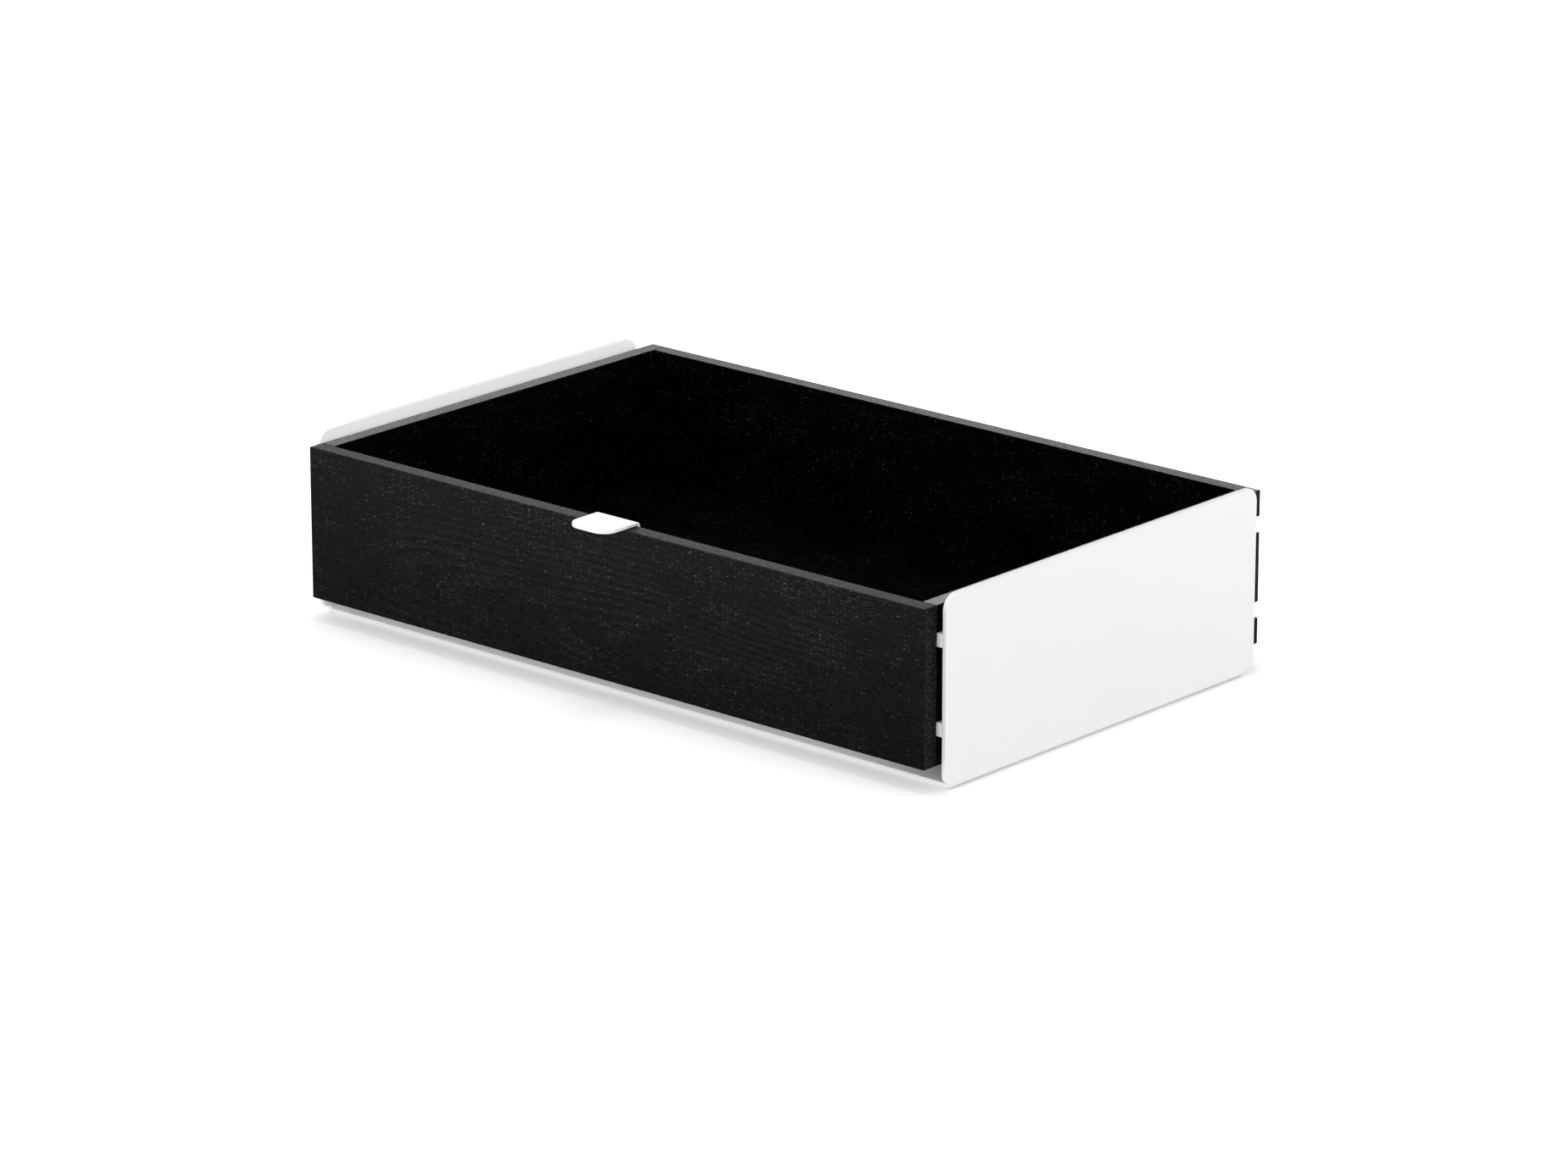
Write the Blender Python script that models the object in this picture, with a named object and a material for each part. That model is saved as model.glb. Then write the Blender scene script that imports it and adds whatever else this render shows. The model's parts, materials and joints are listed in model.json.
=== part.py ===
"""Under-desk drawer: an open-topped oak box on four rails inside a folded steel bracket.

Units are metres. +Z is up, +Y is to the back, and the origin lies on the standing face, below the
middle of the whole object. The bracket stands on its plate here. Turned over, the plate is screwed
up under a desk and the box goes in the other way up, which its mirrored grooves allow.
"""
import math

import bmesh
import bpy
from mathutils import Vector

MM = 0.001
GAP = 0.3 * MM                      # between two pieces that touch

# Box
BOX_WIDTH = 458 * MM
BOX_DEPTH = 290 * MM
BOX_HEIGHT = 90 * MM
BOARD = 10 * MM                     # thickness of the front, back and sides
EDGE_ROUND = 0.5 * MM
SLIDE_GROOVE_OFFSET = 20 * MM       # groove's middle, from the box's nearest horizontal face
SLIDE_GROOVE_HEIGHT = 9.5 * MM
SLIDE_GROOVE_DEPTH = 5 * MM
BOTTOM_THICKNESS = 6 * MM
BOTTOM_RISE = 5 * MM                # underside of the bottom panel, above the sides' lower edge
BOTTOM_GROOVE_DEPTH = 4 * MM

# Bracket
SHEET = 3 * MM
SIDE_CLEARANCE = 3 * MM             # box to wall
BRACKET_DEPTH = 268 * MM
BRACKET_HEIGHT = 110 * MM
UNDER_BOX = 11 * MM                 # plate to box, room for the desk screws' heads
BEND_INSIDE = 2.5 * MM
WALL_TOP_ROUND = 9 * MM
WALL_FOOT_ROUND = 6 * MM
WALL_FOOT_HEIGHT = 9.5 * MM         # where the walls' end edges start to curve in
DESK_HOLE = 5.5 * MM
DESK_HOLE_SPACING = Vector((340 * MM, 180 * MM))

# Rails and their fixings
RAIL_HEIGHT = 8 * MM
RAIL_REACH = 4 * MM                 # how far a rail enters its groove
RAIL_FIXING_SPACING = 110 * MM
STUD_DIAMETER = 5 * MM
STUD_LENGTH = 4.1 * MM
SCREW_DIAMETER = 3 * MM
SCREW_LENGTH = 5.2 * MM
HEAD_DIAMETER = 5.5 * MM
HEAD_DEPTH = 1.5 * MM
SOCKET_ACROSS_FLATS = 2 * MM
SOCKET_DEPTH = 1 * MM

# Pull tab and its screws
PULL_WIDTH = 30 * MM
PULL_SHEET = 2 * MM
PULL_REACH = 16 * MM                # in front of the box
PULL_DROP = 25 * MM
PULL_BEND_INSIDE = 1 * MM
PULL_FRONT_ROUND = 9 * MM
PULL_FLANGE_ROUND = 3 * MM
PULL_SCREW_SPACING = 15 * MM
PULL_SCREW_DROP = 16 * MM
PULL_SCREW_LENGTH = 9 * MM

# Corner dowels
DOWEL_DIAMETER = 5 * MM
DOWEL_LENGTH = 20 * MM
DOWEL_HOLE_IN_FACE = 7 * MM
DOWEL_HEIGHTS = (35 * MM, 55 * MM)  # above the box's lower edge

# Worked out from the sizes above
FRONT_Y = (PULL_REACH - BOX_DEPTH) / 2      # the box's front face, with the whole object centred
BACK_Y = FRONT_Y + BOX_DEPTH
MIDDLE_Y = (FRONT_Y + BACK_Y) / 2
BOX_BASE_Z = SHEET + UNDER_BOX
SIDE_LENGTH = BOX_DEPTH - BOARD - GAP
INNER_WIDTH = BOX_WIDTH - 2 * BOARD
WALL_INSIDE_X = BOX_WIDTH / 2 + SIDE_CLEARANCE
WALL_OUTSIDE_X = WALL_INSIDE_X + SHEET
RAIL_WIDTH = SIDE_CLEARANCE + RAIL_REACH - GAP
RAIL_X = WALL_INSIDE_X - GAP - RAIL_WIDTH / 2
GROOVE_HEIGHTS = (SLIDE_GROOVE_OFFSET, BOX_HEIGHT - SLIDE_GROOVE_OFFSET)
RAIL_RISE = (SLIDE_GROOVE_HEIGHT - RAIL_HEIGHT) / 2 - GAP   # the box hangs on the rails' tops

WHITE_COAT = ("white_powder_coat", (0.80, 0.80, 0.79), 0.45, 0.0)
BLACK_OAK = ("black_stained_oak", (0.018, 0.018, 0.018), 0.42, 0.0)
WHITE_NYLON = ("white_nylon", (0.78, 0.78, 0.76), 0.38, 0.0)
ZINC = ("zinc_plated_steel", (0.62, 0.63, 0.65), 0.32, 1.0)
BEECH = ("beech", (0.55, 0.38, 0.22), 0.6, 0.0)


# ---------------------------------------------------------------- scene and materials

def clear_scene():
    for obj in list(bpy.data.objects):
        bpy.data.objects.remove(obj, do_unlink=True)


def material(finish):
    name, colour, roughness, metallic = finish
    found = bpy.data.materials.get(name)
    if found:
        return found
    made = bpy.data.materials.new(name)
    made.use_nodes = True
    shader = made.node_tree.nodes["Principled BSDF"]
    shader.inputs["Base Color"].default_value = (*colour, 1.0)
    shader.inputs["Roughness"].default_value = roughness
    shader.inputs["Metallic"].default_value = metallic
    made.diffuse_color = (*colour, 1.0)
    return made


def empty(name, location):
    obj = bpy.data.objects.new(name, None)
    obj.location = location
    bpy.context.scene.collection.objects.link(obj)
    return obj


def place(name, mesh, parent, location, turn=0.0, finish=None):
    """Puts a mesh in the scene as an object, turned about Z."""
    obj = bpy.data.objects.new(name, mesh)
    obj.parent = parent
    obj.location = location
    obj.rotation_euler = (0.0, 0.0, turn)
    if finish:
        mesh.materials.clear()
        mesh.materials.append(material(finish))
    bpy.context.scene.collection.objects.link(obj)
    return obj


# ---------------------------------------------------------------- shapes

def finish_mesh(name, bm, smooth=False):
    bmesh.ops.recalc_face_normals(bm, faces=bm.faces[:])
    mesh = bpy.data.meshes.new(name)
    bm.to_mesh(mesh)
    bm.free()
    if smooth:
        mesh.shade_smooth()
        mesh.set_sharp_from_angle(angle=math.radians(35))
    return mesh


def arc(centre_u, centre_v, radius, start, end, steps=6):
    """Points of an arc, angles in degrees."""
    angles = [math.radians(start + (end - start) * i / steps) for i in range(steps + 1)]
    return [(centre_u + radius * math.cos(a), centre_v + radius * math.sin(a)) for a in angles]


def prism_mesh(name, outline, axis, low, high):
    """Extrudes a closed outline along an axis: X takes (y, z) points, Y (x, z) and Z (x, y)."""
    def point(u, v, w):
        return {"X": (w, u, v), "Y": (u, w, v), "Z": (u, v, w)}[axis]
    bm = bmesh.new()
    base = bm.faces.new([bm.verts.new(point(u, v, low)) for u, v in outline])
    grown = bmesh.ops.extrude_face_region(bm, geom=[base])
    moved = [item for item in grown["geom"] if isinstance(item, bmesh.types.BMVert)]
    bmesh.ops.translate(bm, verts=moved, vec=Vector(point(0, 0, high - low)))
    return finish_mesh(name, bm)


def box_mesh(name, size_x, size_y, size_z):
    """A box about its own middle."""
    x, y = size_x / 2, size_y / 2
    return prism_mesh(name, [(-x, -y), (x, -y), (x, y), (-x, y)], "Z", -size_z / 2, size_z / 2)


def turned_mesh(name, profile, axis="X", steps=16, places=((0.0, 0.0, 0.0),)):
    """Turns a profile of (along, radius) points, which starts and ends on the axis."""
    along = {"X": Vector((1, 0, 0)), "Y": Vector((0, 1, 0))}[axis]
    out = Vector((0, 0, 1))
    bm = bmesh.new()
    for offset in places:
        verts = [bm.verts.new(Vector(offset) + along * a + out * r) for a, r in profile]
        edges = [bm.edges.new(pair) for pair in zip(verts, verts[1:])]
        bmesh.ops.spin(bm, geom=verts + edges, cent=Vector(offset), axis=along,
                       angle=math.tau, steps=steps, use_merge=True)
    bmesh.ops.remove_doubles(bm, verts=bm.verts[:], dist=0.001 * MM)
    return finish_mesh(name, bm, smooth=True)


def cut(target, name, mesh, location=(0.0, 0.0, 0.0), operation="DIFFERENCE"):
    """Cuts a mesh, placed in the target's own frame, out of the target."""
    cutter = place(name, mesh, target, location)
    cutter.hide_render = True
    cutter.display_type = "WIRE"
    modifier = target.modifiers.new(name, "BOOLEAN")
    modifier.operation = operation
    modifier.solver = "EXACT"
    modifier.object = cutter


def round_edges(target, width, wanted):
    """Rounds the edges whose middle point passes the test wanted."""
    mesh = target.data
    weights = mesh.attributes.new("bevel_weight_edge", "FLOAT", "EDGE")
    for edge in mesh.edges:
        ends = [mesh.vertices[i].co for i in edge.vertices]
        weights.data[edge.index].value = 1.0 if wanted((ends[0] + ends[1]) / 2) else 0.0
    bevel = target.modifiers.new("rounded_edges", "BEVEL")
    bevel.width = width
    bevel.segments = 2
    bevel.limit_method = "WEIGHT"


def shared_mesh(template):
    """The template's mesh with its cuts made, for several objects to share."""
    bpy.context.view_layer.update()
    depsgraph = bpy.context.evaluated_depsgraph_get()
    mesh = bpy.data.meshes.new_from_object(template.evaluated_get(depsgraph))
    for cutter in list(template.children):
        bpy.data.objects.remove(cutter, do_unlink=True)
    bpy.data.objects.remove(template, do_unlink=True)
    return mesh


# ---------------------------------------------------------------- bracket

def make_mounting_bracket(frame):
    """A U of folded sheet, with its plate below and a wall on each side."""
    bend_outside = BEND_INSIDE + SHEET
    x_out = WALL_OUTSIDE_X - bend_outside
    section = (
        [(WALL_OUTSIDE_X, BRACKET_HEIGHT), (WALL_INSIDE_X, BRACKET_HEIGHT)]
        + arc(x_out, bend_outside, BEND_INSIDE, 0, -90)
        + arc(-x_out, bend_outside, BEND_INSIDE, -90, -180)
        + [(-WALL_INSIDE_X, BRACKET_HEIGHT), (-WALL_OUTSIDE_X, BRACKET_HEIGHT)]
        + arc(-x_out, bend_outside, bend_outside, 180, 270)
        + arc(x_out, bend_outside, bend_outside, 270, 360)
    )
    half = BRACKET_DEPTH / 2
    mesh = prism_mesh("mounting_bracket", section, "Y", -half, half)
    bracket = place("mounting_bracket", mesh, frame, (0, 0, 0), finish=WHITE_COAT)

    top = BRACKET_HEIGHT - WALL_TOP_ROUND
    foot = half - WALL_FOOT_ROUND
    side_view = (
        arc(half - WALL_TOP_ROUND, top, WALL_TOP_ROUND, 0, 90)
        + arc(WALL_TOP_ROUND - half, top, WALL_TOP_ROUND, 90, 180)
        + arc(-foot, WALL_FOOT_HEIGHT, WALL_FOOT_ROUND, 180, 270)
        + [(-foot, -MM), (foot, -MM)]
        + arc(foot, WALL_FOOT_HEIGHT, WALL_FOOT_ROUND, 270, 360)
    )
    reach = WALL_OUTSIDE_X + MM
    trim = prism_mesh("bracket_side_view", side_view, "X", -reach, reach)
    cut(bracket, "bracket_side_view", trim, operation="INTERSECT")

    holes = [(sx * DESK_HOLE_SPACING.x / 2, sy * DESK_HOLE_SPACING.y / 2)
             for sx in (-1, 1) for sy in (-1, 1)]
    for number, (x, y) in enumerate(holes, start=1):
        circle = arc(0, 0, DESK_HOLE / 2, 0, 345, steps=23)
        drill = prism_mesh(f"desk_hole_{number}", circle, "Z", -MM, SHEET + MM)
        cut(bracket, f"desk_hole_{number}", drill, (x, y, 0))


def rail_mesh():
    """One rail about its own middle. Its groove side faces -X and its wall side +X."""
    half = RAIL_WIDTH / 2
    pocket_radius = STUD_DIAMETER / 2 + GAP
    shank_radius = SCREW_DIAMETER / 2 + GAP
    head_radius = HEAD_DIAMETER / 2 + GAP
    pocket_start = half - STUD_LENGTH - GAP
    drill = [
        (-half - MM, 0), (-half - MM, head_radius), (-half, head_radius),
        (-half + HEAD_DEPTH, shank_radius), (pocket_start, shank_radius),
        (pocket_start, pocket_radius), (half + MM, pocket_radius), (half + MM, 0),
    ]
    rail = place("rail_template", box_mesh("rail", RAIL_WIDTH, BRACKET_DEPTH, RAIL_HEIGHT), None,
                 (0, 0, 0), finish=WHITE_NYLON)
    round_edges(rail, EDGE_ROUND, lambda middle: middle.x < -half / 2 or abs(middle.x) < half / 2)
    places = [(0, step * RAIL_FIXING_SPACING, 0) for step in (-1, 0, 1)]
    cut(rail, "rail_drill", turned_mesh("rail_drill", drill, places=places))
    return shared_mesh(rail)


def stud_mesh():
    """A tapped weld stud. Its foot, at +X, is on the wall and its bore opens at -X."""
    radius = STUD_DIAMETER / 2
    bore = SCREW_DIAMETER / 2 + GAP
    floor = 0.8 * STUD_LENGTH
    profile = [(STUD_LENGTH, 0), (STUD_LENGTH, radius), (0, radius), (0, bore),
               (floor, bore), (floor, 0)]
    return turned_mesh("rail_stud", profile)


def countersunk_screw_mesh(name, length):
    """A countersunk screw whose head is flush at x = 0 and whose tip points along +X."""
    shank = SCREW_DIAMETER / 2
    chamfer = 0.4 * MM
    profile = [(0, 0), (0, HEAD_DIAMETER / 2), (HEAD_DEPTH, shank), (length - chamfer, shank),
               (length, shank - chamfer), (length, 0)]
    screw = place(f"{name}_template", turned_mesh(name, profile, steps=18), None, (0, 0, 0),
                  finish=ZINC)
    socket_radius = SOCKET_ACROSS_FLATS / 2 / math.cos(math.radians(30))
    hexagon = arc(0, 0, socket_radius, 0, 300, steps=5)
    cut(screw, f"{name}_socket", prism_mesh(f"{name}_socket", hexagon, "X", -MM, SOCKET_DEPTH))
    return shared_mesh(screw)


def make_rails(frame):
    """Four rails, each on three studs that are welded to its wall, with a screw in each stud."""
    rail = rail_mesh()
    stud = stud_mesh()
    screw = countersunk_screw_mesh("rail_screw", SCREW_LENGTH)
    groove_side = WALL_INSIDE_X - GAP - RAIL_WIDTH
    stud_start = WALL_INSIDE_X - GAP - STUD_LENGTH
    fixings = (("front", -1), ("middle", 0), ("rear", 1))
    for side, sign, turn in (("right", 1, 0.0), ("left", -1, math.pi)):
        for level, groove in zip(("lower", "upper"), GROOVE_HEIGHTS):
            z = BOX_BASE_Z + groove + RAIL_RISE
            place(f"rail_{side}_{level}", rail, frame, (sign * RAIL_X, 0, z), turn,
                  WHITE_NYLON)
            for spot, step in fixings:
                y = step * RAIL_FIXING_SPACING
                ending = f"{side}_{level}_{spot}"
                place(f"rail_stud_{ending}", stud, frame, (sign * stud_start, y, z), turn, ZINC)
                place(f"rail_screw_{ending}", screw, frame, (sign * groove_side, y, z), turn, ZINC)


# ---------------------------------------------------------------- box

def dowel_hole(target, name, axis, depth, location):
    """Drills a blind dowel hole of the given depth, centred on a face of the target."""
    radius = DOWEL_DIAMETER / 2 + GAP
    profile = [(-depth, 0), (-depth, radius), (depth, radius), (depth, 0)]
    cut(target, name, turned_mesh(name, profile, axis), location)


def bottom_groove(target, name, length_x, length_y, x, y):
    """Mills the bottom panel's groove in a board that is centred on the box's mid height."""
    z = BOTTOM_RISE + BOTTOM_THICKNESS / 2 - BOX_HEIGHT / 2
    tool = box_mesh(name, length_x, length_y, BOTTOM_THICKNESS + 2 * GAP)
    cut(target, name, tool, (x, y, z))


def make_front_panel(frame):
    """The front covers the ends of both sides, so the slide grooves stop behind it."""
    mesh = box_mesh("front_panel", BOX_WIDTH, BOARD, BOX_HEIGHT)
    front = place("front_panel", mesh, frame, (0, (BOARD - BOX_DEPTH) / 2, BOX_HEIGHT / 2),
                  finish=BLACK_OAK)
    round_edges(front, EDGE_ROUND, lambda middle: middle.y < BOARD / 4 or abs(middle.x) < MM)
    inner_face = BOARD / 2
    bottom_groove(front, "front_bottom_groove", INNER_WIDTH + 2 * BOTTOM_GROOVE_DEPTH,
                  2 * BOTTOM_GROOVE_DEPTH, 0, inner_face)
    hole_x = (BOX_WIDTH - BOARD) / 2
    for side, sign in (("left", -1), ("right", 1)):
        for number, height in enumerate(DOWEL_HEIGHTS, start=1):
            dowel_hole(front, f"front_hole_{side}_{number}", "Y", DOWEL_HOLE_IN_FACE,
                       (sign * hole_x, inner_face, height - BOX_HEIGHT / 2))
        pilot = SCREW_DIAMETER / 2 + GAP
        depth = PULL_SCREW_LENGTH - PULL_SHEET
        profile = [(-depth, 0), (-depth, pilot), (depth, pilot), (depth, 0)]
        cut(front, f"pull_pilot_{side}", turned_mesh(f"pull_pilot_{side}", profile, "Y"),
            (sign * PULL_SCREW_SPACING / 2, inner_face, BOX_HEIGHT / 2 - PULL_SCREW_DROP))


def make_back_panel(frame):
    """The back stands between the sides."""
    mesh = box_mesh("back_panel", INNER_WIDTH - 2 * GAP, BOARD, BOX_HEIGHT)
    back = place("back_panel", mesh, frame, (0, (BOX_DEPTH - BOARD) / 2, BOX_HEIGHT / 2),
                 finish=BLACK_OAK)
    bottom_groove(back, "back_bottom_groove", BOX_WIDTH, 2 * BOTTOM_GROOVE_DEPTH,
                  0, -BOARD / 2)
    depth = DOWEL_LENGTH - DOWEL_HOLE_IN_FACE + GAP
    for side, sign in (("left", -1), ("right", 1)):
        for number, height in enumerate(DOWEL_HEIGHTS, start=1):
            end = sign * (INNER_WIDTH / 2 - GAP)
            dowel_hole(back, f"back_hole_{side}_{number}", "X", depth,
                       (end, 0, height - BOX_HEIGHT / 2))


def make_side_panel(frame, side, sign):
    """A side with two slide grooves outside, open at the rear, and the bottom's groove inside."""
    mesh = box_mesh(f"{side}_side_panel", BOARD, SIDE_LENGTH, BOX_HEIGHT)
    x = sign * (BOX_WIDTH - BOARD) / 2
    panel = place(f"{side}_side_panel", mesh, frame,
                  (x, (BOX_DEPTH - SIDE_LENGTH) / 2, BOX_HEIGHT / 2), finish=BLACK_OAK)
    for level, groove in zip(("lower", "upper"), GROOVE_HEIGHTS):
        tool = box_mesh(f"{side}_{level}_slide_groove", 2 * SLIDE_GROOVE_DEPTH,
                        SIDE_LENGTH + 2 * MM, SLIDE_GROOVE_HEIGHT)
        cut(panel, tool.name, tool, (sign * BOARD / 2, 0, groove - BOX_HEIGHT / 2))
    front_end = -SIDE_LENGTH / 2
    groove_end = SIDE_LENGTH / 2 - BOARD + BOTTOM_GROOVE_DEPTH
    groove_length = groove_end - front_end + MM
    bottom_groove(panel, f"{side}_bottom_groove", 2 * BOTTOM_GROOVE_DEPTH, groove_length,
                  -sign * BOARD / 2, groove_end - groove_length / 2)
    end_depth = DOWEL_LENGTH - DOWEL_HOLE_IN_FACE + GAP
    for number, height in enumerate(DOWEL_HEIGHTS, start=1):
        z = height - BOX_HEIGHT / 2
        dowel_hole(panel, f"{side}_front_hole_{number}", "Y", end_depth, (0, front_end, z))
        dowel_hole(panel, f"{side}_rear_hole_{number}", "X", DOWEL_HOLE_IN_FACE,
                   (-sign * BOARD / 2, (SIDE_LENGTH - BOARD) / 2, z))


def make_bottom_panel(frame):
    """The bottom sits loose in the grooves of all four boards."""
    grow = 2 * (BOTTOM_GROOVE_DEPTH - GAP)
    mesh = box_mesh("bottom_panel", INNER_WIDTH + grow, BOX_DEPTH - 2 * BOARD + grow,
                    BOTTOM_THICKNESS)
    place("bottom_panel", mesh, frame, (0, 0, BOTTOM_RISE + BOTTOM_THICKNESS / 2),
          finish=BLACK_OAK)


def make_dowels(frame):
    """Two glued dowels in each corner: along Y at the front, along X at the back."""
    radius = DOWEL_DIAMETER / 2
    chamfer = 0.8 * MM
    half = DOWEL_LENGTH / 2 - GAP
    profile = [(-half, 0), (-half, radius - chamfer), (chamfer - half, radius),
               (half - chamfer, radius), (half, radius - chamfer), (half, 0)]
    along_y = turned_mesh("dowel_along_y", profile, "Y", steps=12)
    along_x = turned_mesh("dowel_along_x", profile, "X", steps=12)
    inset = DOWEL_LENGTH / 2 - DOWEL_HOLE_IN_FACE       # from the joint to the dowel's middle
    for side, sign in (("left", -1), ("right", 1)):
        front = (sign * (BOX_WIDTH - BOARD) / 2, BOARD - BOX_DEPTH / 2 + inset)
        back = (sign * (INNER_WIDTH / 2 - inset), (BOX_DEPTH - BOARD) / 2)
        for number, height in enumerate(DOWEL_HEIGHTS, start=1):
            place(f"dowel_front_{side}_{number}", along_y, frame, (*front, height), finish=BEECH)
            place(f"dowel_back_{side}_{number}", along_x, frame, (*back, height), finish=BEECH)


def make_pull_tab(frame):
    """A folded tab: its lip lies on the front's top edge and its flange hangs behind the front."""
    bend_outside = PULL_BEND_INSIDE + PULL_SHEET
    lip_top = BOX_HEIGHT + GAP + PULL_SHEET
    lip_front = -BOX_DEPTH / 2 - PULL_REACH
    flange_back = BOARD - BOX_DEPTH / 2 + GAP + PULL_SHEET
    flange_foot = lip_top - PULL_DROP
    bend_y = flange_back - bend_outside
    bend_z = lip_top - bend_outside
    section = (
        [(lip_front, lip_top), (lip_front, lip_top - PULL_SHEET)]
        + arc(bend_y, bend_z, PULL_BEND_INSIDE, 90, 0, steps=4)
        + [(flange_back - PULL_SHEET, flange_foot), (flange_back, flange_foot)]
        + arc(bend_y, bend_z, bend_outside, 0, 90, steps=6)
    )
    half = PULL_WIDTH / 2
    mesh = prism_mesh("pull_tab", section, "X", -half, half)
    tab = place("pull_tab", mesh, frame, (0, 0, 0), finish=WHITE_COAT)

    def trim(name, corner_round, axis, end, other, low, high):
        """Keeps a strip with two rounded corners towards end."""
        sign = 1 if other > end else -1
        centre = end + sign * corner_round
        first, last = ((180, 270), (270, 360)) if sign > 0 else ((180, 90), (90, 0))
        outline = (
            [(-half - MM, other)] + [(-half - MM, centre)]
            + arc(corner_round - half, centre, corner_round, *first)
            + arc(half - corner_round, centre, corner_round, *last)
            + [(half + MM, centre)] + [(half + MM, other)]
        )
        cut(tab, name, prism_mesh(name, outline, axis, low, high), operation="INTERSECT")

    trim("pull_front_corners", PULL_FRONT_ROUND, "Z", lip_front, flange_back + MM,
         flange_foot - MM, lip_top + MM)
    trim("pull_flange_corners", PULL_FLANGE_ROUND, "Y", flange_foot, lip_top + MM,
         lip_front - MM, flange_back + MM)

    screw = countersunk_screw_mesh("pull_screw", PULL_SCREW_LENGTH)
    clearance = SCREW_DIAMETER / 2 + GAP
    drill = [(-MM, 0), (-MM, HEAD_DIAMETER / 2 + GAP), (0, HEAD_DIAMETER / 2 + GAP),
             (HEAD_DEPTH, clearance), (PULL_SHEET + MM, clearance), (PULL_SHEET + MM, 0)]
    to_front = -math.pi / 2
    for side, sign in (("left", -1), ("right", 1)):
        spot = (sign * PULL_SCREW_SPACING / 2, flange_back, BOX_HEIGHT - PULL_SCREW_DROP)
        name = f"pull_hole_{side}"
        cut(tab, name, turned_mesh(name, drill), spot)
        bpy.data.objects[name].rotation_euler.z = to_front
        place(f"pull_screw_{side}", screw, frame, spot, to_front, ZINC)


# ---------------------------------------------------------------- assembly

def main():
    clear_scene()
    bracket_frame = empty("bracket_frame", (0, MIDDLE_Y, 0))
    make_mounting_bracket(bracket_frame)
    make_rails(bracket_frame)

    # The box slides along this frame's -Y.
    box_frame = empty("box_frame", (0, MIDDLE_Y, BOX_BASE_Z))
    make_front_panel(box_frame)
    make_back_panel(box_frame)
    for side, sign in (("left", -1), ("right", 1)):
        make_side_panel(box_frame, side, sign)
    make_bottom_panel(box_frame)
    make_dowels(box_frame)
    make_pull_tab(box_frame)


main()
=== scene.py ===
"""The under-desk drawer's looks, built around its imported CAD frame.

Units are metres, in the CAD's own frame: +Z up, +Y to the back, the standing face at z = 0.
"""

import json
import math

import bmesh
import bpy
from mathutils import Matrix, Vector

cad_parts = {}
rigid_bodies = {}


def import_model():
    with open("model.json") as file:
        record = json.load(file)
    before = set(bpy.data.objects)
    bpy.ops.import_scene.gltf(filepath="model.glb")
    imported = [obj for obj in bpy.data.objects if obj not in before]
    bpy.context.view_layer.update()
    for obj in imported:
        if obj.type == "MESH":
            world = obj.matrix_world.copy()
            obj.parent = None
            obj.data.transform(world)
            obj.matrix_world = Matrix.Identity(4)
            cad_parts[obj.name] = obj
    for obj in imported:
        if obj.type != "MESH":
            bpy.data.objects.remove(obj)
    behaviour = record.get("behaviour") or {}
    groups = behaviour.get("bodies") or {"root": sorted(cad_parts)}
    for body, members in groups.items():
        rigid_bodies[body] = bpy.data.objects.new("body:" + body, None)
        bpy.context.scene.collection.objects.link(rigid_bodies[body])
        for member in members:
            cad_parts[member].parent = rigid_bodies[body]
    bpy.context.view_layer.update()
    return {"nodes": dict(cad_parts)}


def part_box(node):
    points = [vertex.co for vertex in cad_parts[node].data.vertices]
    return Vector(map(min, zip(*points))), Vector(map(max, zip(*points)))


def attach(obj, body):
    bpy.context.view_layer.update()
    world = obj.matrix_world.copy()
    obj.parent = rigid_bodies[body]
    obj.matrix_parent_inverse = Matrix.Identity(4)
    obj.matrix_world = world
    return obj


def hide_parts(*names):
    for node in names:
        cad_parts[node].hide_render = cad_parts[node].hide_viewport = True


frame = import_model()
NODES = frame["nodes"]

MM = 0.001
SEAM = 0.05 * MM                    # between two joined boards

# Sheet metal
SHEET = 3 * MM
BEND_INSIDE = 2.5 * MM
SHEET_EDGE = 0.45 * MM
WALL_TOP_ROUND = 9 * MM
WALL_FOOT_ROUND = 6 * MM
WALL_FOOT_HEIGHT = 9.5 * MM
DESK_HOLE = 5.5 * MM
DESK_HOLE_SPACING = (340 * MM, 180 * MM)
PULL_SHEET = 2 * MM
PULL_BEND_INSIDE = 1 * MM
PULL_EDGE = 0.35 * MM
PULL_FRONT_ROUND = 9 * MM
PULL_FLANGE_ROUND = 3 * MM

# Rails
RAIL_CORNER_ROUND = 0.6 * MM
RAIL_EDGE = 0.5 * MM
RAIL_FIXING_SPACING = 110 * MM
STUD_POCKET = (2.8 * MM, 4.4 * MM)          # radius, depth from the wall's side

# Boards
OUTER_ROUND = 0.5 * MM
SMALL_ROUND = 0.15 * MM
SLIDE_GROOVE = (5 * MM, 9.5 * MM)           # depth, height
SLIDE_GROOVE_OFFSET = 20 * MM
BOTTOM_GROOVE_DEPTH = 4 * MM
BOTTOM_SLACK = 0.15 * MM
DOWEL_HOLE_RADIUS = 2.55 * MM
PILOT_RADIUS = 1.55 * MM
PILOT_MIDDLE = 4.5 * MM                     # from the pull screw's tip
PILOT_HALF_LENGTH = 4.7 * MM

# Screws
HEAD_RADIUS = 2.75 * MM
HEAD_RIM = 0.12 * MM
HEAD_DEPTH = 1.5 * MM
SHANK_RADIUS = 1.5 * MM
THREAD_PITCH = 0.5 * MM
THREAD_DEPTH = 0.22 * MM
RAIL_SCREW_LENGTH = 5.2 * MM
PULL_SCREW_LENGTH = 9 * MM
SOCKET_ACROSS_FLATS = 2 * MM
SOCKET_DEPTH = 1 * MM
SOCKET_TIP_DEPTH = 1.35 * MM
FIT = 0.3 * MM                              # round screws and beyond the dowels' ends


# ---------------------------------------------------------------- meshes

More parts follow.
